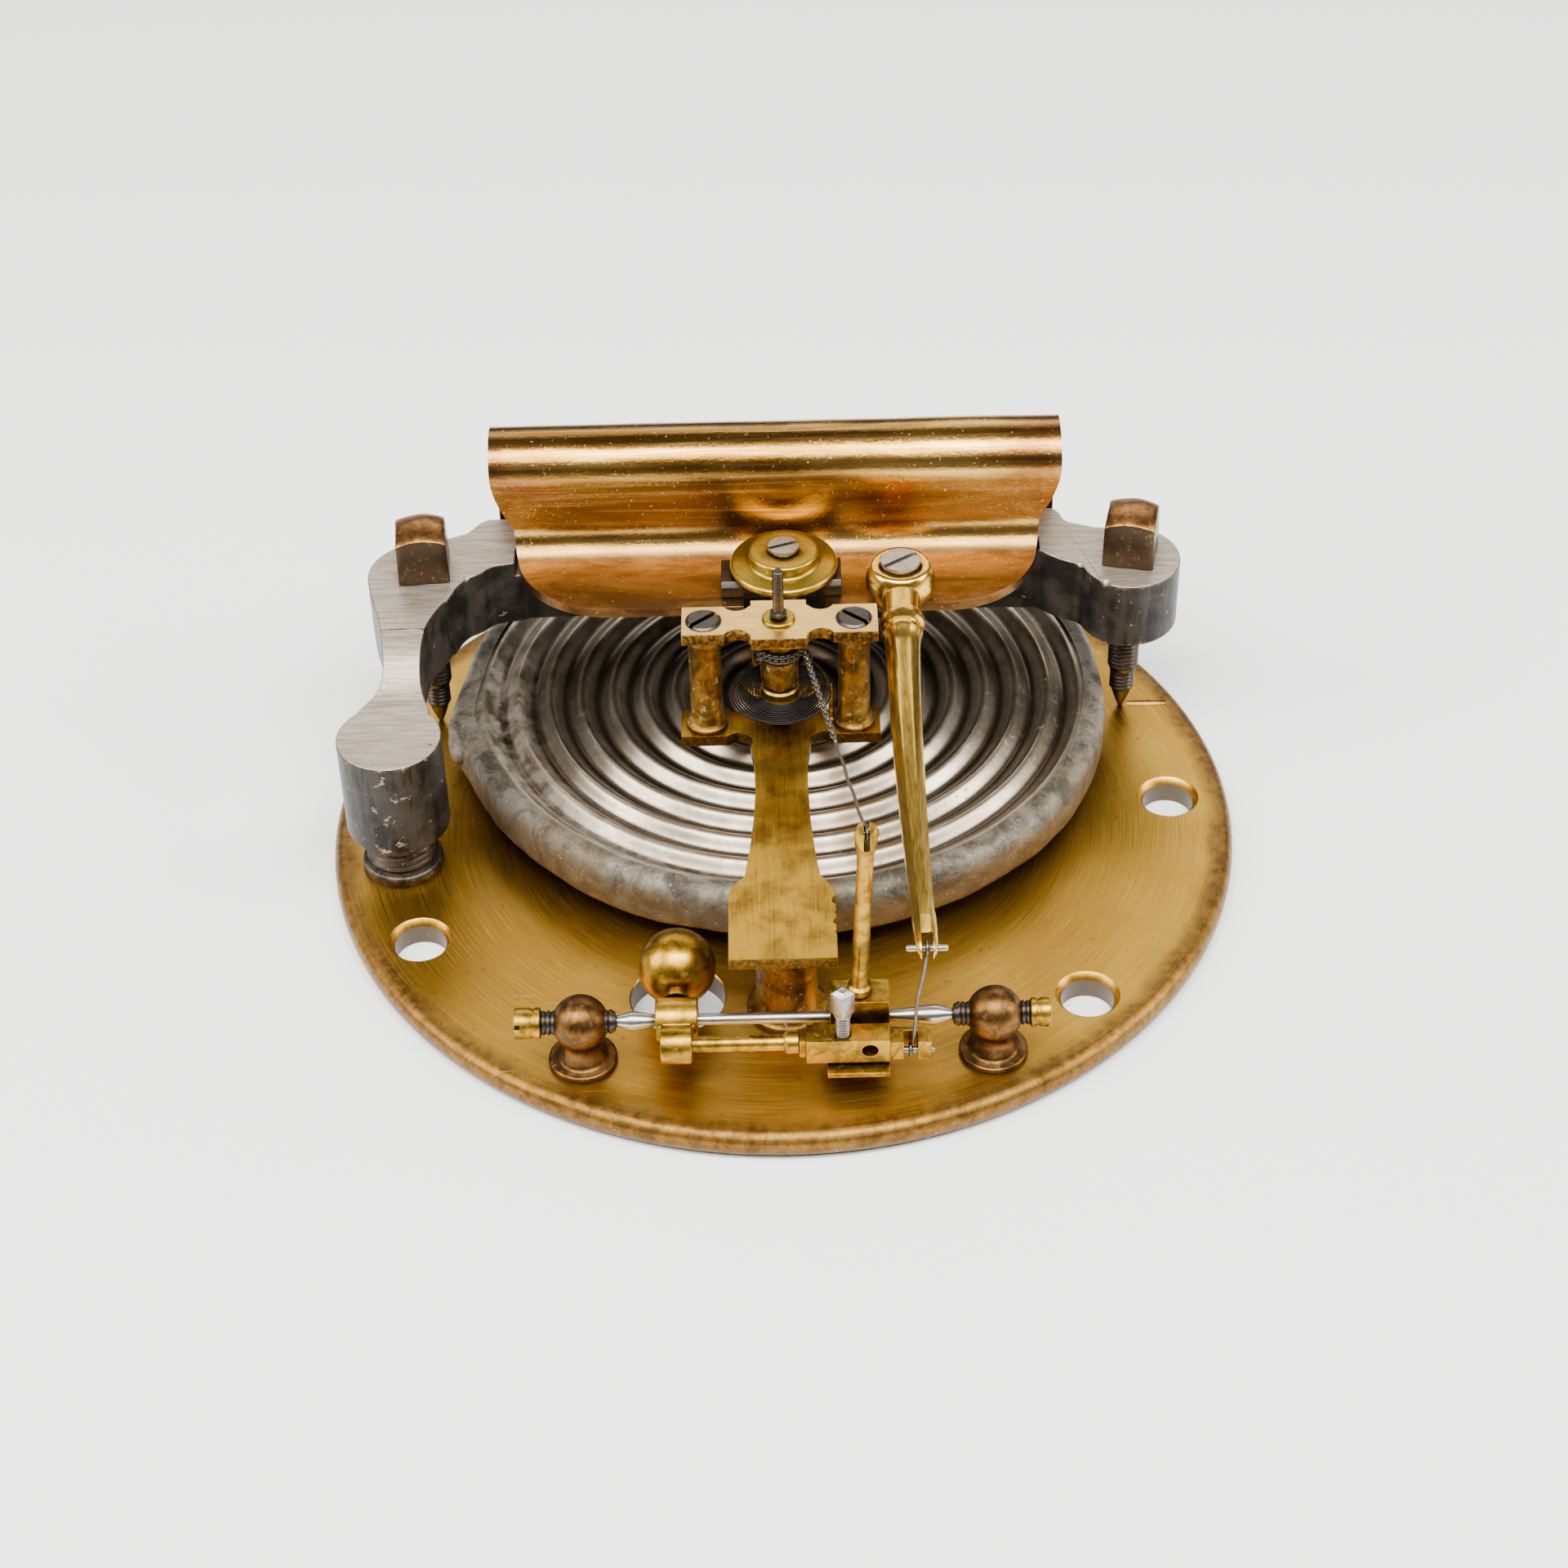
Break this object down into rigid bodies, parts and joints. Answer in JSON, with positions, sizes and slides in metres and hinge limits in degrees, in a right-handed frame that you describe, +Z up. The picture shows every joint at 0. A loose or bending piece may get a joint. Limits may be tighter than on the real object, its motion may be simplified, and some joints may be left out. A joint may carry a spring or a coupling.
{
  "type": "aneroid barometer movement",
  "caption": "Round-plate aneroid barometer movement: vacuum capsule, curved mainspring, lever, rocker, chain and hairspring that turn a pointer arbor.",
  "frame": {"origin": "centre of the base plate's underside", "axes": "+Z up through the pointer arbor, -Y towards the rocker shaft at the front, +X right"},
  "size_m": [0.1, 0.1, 0.0382],
  "materials": {
    "plate_brass": "aged brushed",
    "capsule_metal": "satin, mottled rim",
    "solder": "dull solder",
    "dark_brass": "tarnished",
    "bridge_iron": "worn black paint, machined top",
    "black_steel": "blackened",
    "bronze_screw": "bronzed, worn edges",
    "spring_steel": "polished copper bronze tint",
    "gold_brass": "bright lacquered",
    "bright_steel": "polished",
    "blued_steel": "blued"
  },
  "bodies": {
    "frame_assembly": {"base_plate": "plate_brass", "capsule_lower_shell": "capsule_metal", "capsule_diaphragm": "capsule_metal", "capsule_seal": "solder", "capsule_foot": "dark_brass", "capsule_sleeve": "dark_brass", "bridge": "bridge_iron", "bridge_foot": "dark_brass", "spring_clamp_plate": "bridge_iron", "spring_clamp_screws": "black_steel", "arm_post": "dark_brass", "pillar_arm": "plate_brass", "cock_pillars": "dark_brass", "cock_plate": "gold_brass", "cock_screws": "black_steel", "arbor_bushing": "gold_brass", "hairspring": "blued_steel", "hairspring_stud": "dark_brass", "pivot_post_left": "dark_brass", "pivot_post_right": "dark_brass"},
    "pivot_screw_l": {"pivot_screw_left": "black_steel"},
    "pivot_screw_r": {"pivot_screw_right": "black_steel"},
    "bridge_screw_l": {"bridge_screw_left": "bronze_screw"},
    "bridge_screw_r": {"bridge_screw_right": "bronze_screw"},
    "lever_assembly": {"main_spring": "spring_steel", "knife_edge_bar": "black_steel", "thrust_disc": "gold_brass", "disc_screw": "bright_steel", "capsule_stud": "dark_brass", "main_lever": "gold_brass", "lever_screw": "bright_steel", "lever_pin": "bright_steel"},
    "link": {"wire_link": "bright_steel"},
    "rocker": {"rocker_shaft": "bright_steel", "shaft_block": "dark_brass", "upright_rod": "dark_brass", "rod_pin": "bright_steel", "twin_boss": "dark_brass", "counterweight": "dark_brass", "parallel_rod": "dark_brass", "adjusting_bar": "dark_brass", "crank_pin": "bright_steel"},
    "range_adjuster": {"range_screw": "bright_steel"},
    "chain_line": {"chain": "bright_steel"},
    "pointer_arbor": {"arbor": "black_steel", "chain_drum": "dark_brass", "hairspring_collet": "gold_brass"}
  },
  "joints": [
    {"name": "rocker_swing", "type": "hinge", "parent": "frame_assembly", "child": "rocker", "pos_m": [0, -0.0381, 0.00835], "axis": [-1, 0, 0], "range_deg": [-3, 20]},
    {"name": "lever_flex", "type": "hinge", "parent": "frame_assembly", "child": "lever_assembly", "pos_m": [0, 0.028, 0.019], "axis": [-1, 0, 0], "range_deg": [-0.3, 1.3], "stiffness_Nm_per_rad": 1},
    {"name": "link_swing", "type": "hinge", "parent": "rocker", "child": "link", "pos_m": [0.0123, -0.0423, 0.0076], "axis": [-1, 0, 0], "range_deg": [-20.2, 3.2]},
    {"name": "chain_swing", "type": "hinge", "parent": "rocker", "child": "chain_line", "pos_m": [0.008, -0.0381, 0.033], "axis": [-1, 0, 0], "range_deg": [-20.5, 3.5], "deforming": ["chain"]},
    {"name": "arbor_spin", "type": "hinge", "parent": "frame_assembly", "child": "pointer_arbor", "pos_m": [0, 0, 0.0364], "axis": [0, 0, 1], "range_deg": [-36, 217], "deforming": ["hairspring"]},
    {"name": "bridge_screw_left_turn", "type": "hinge", "parent": "frame_assembly", "child": "bridge_screw_l", "pos_m": [-0.0394, 0.0176, 0.0246], "axis": [0, 0, 1], "continuous": true},
    {"name": "bridge_screw_right_turn", "type": "hinge", "parent": "frame_assembly", "child": "bridge_screw_r", "pos_m": [0.0394, 0.0176, 0.0246], "axis": [0, 0, 1], "continuous": true},
    {"name": "pivot_screw_left_turn", "type": "hinge", "parent": "frame_assembly", "child": "pivot_screw_l", "pos_m": [-0.021, -0.0381, 0.00835], "axis": [1, 0, 0], "continuous": true},
    {"name": "pivot_screw_right_turn", "type": "hinge", "parent": "frame_assembly", "child": "pivot_screw_r", "pos_m": [0.021, -0.0381, 0.00835], "axis": [1, 0, 0], "continuous": true},
    {"name": "range_screw_turn", "type": "hinge", "parent": "rocker", "child": "range_adjuster", "pos_m": [0.0055, -0.0422, 0.009], "axis": [0, 0, 1], "continuous": true}
  ],
  "couplings": [
    {"joint": "lever_flex", "follows": "rocker_swing", "ratio": 0.0604},
    {"joint": "link_swing", "follows": "rocker_swing", "ratio": -0.98},
    {"joint": "chain_swing", "follows": "rocker_swing", "ratio": -1},
    {"joint": "arbor_spin", "follows": "rocker_swing", "ratio": 10.7}
  ]
}
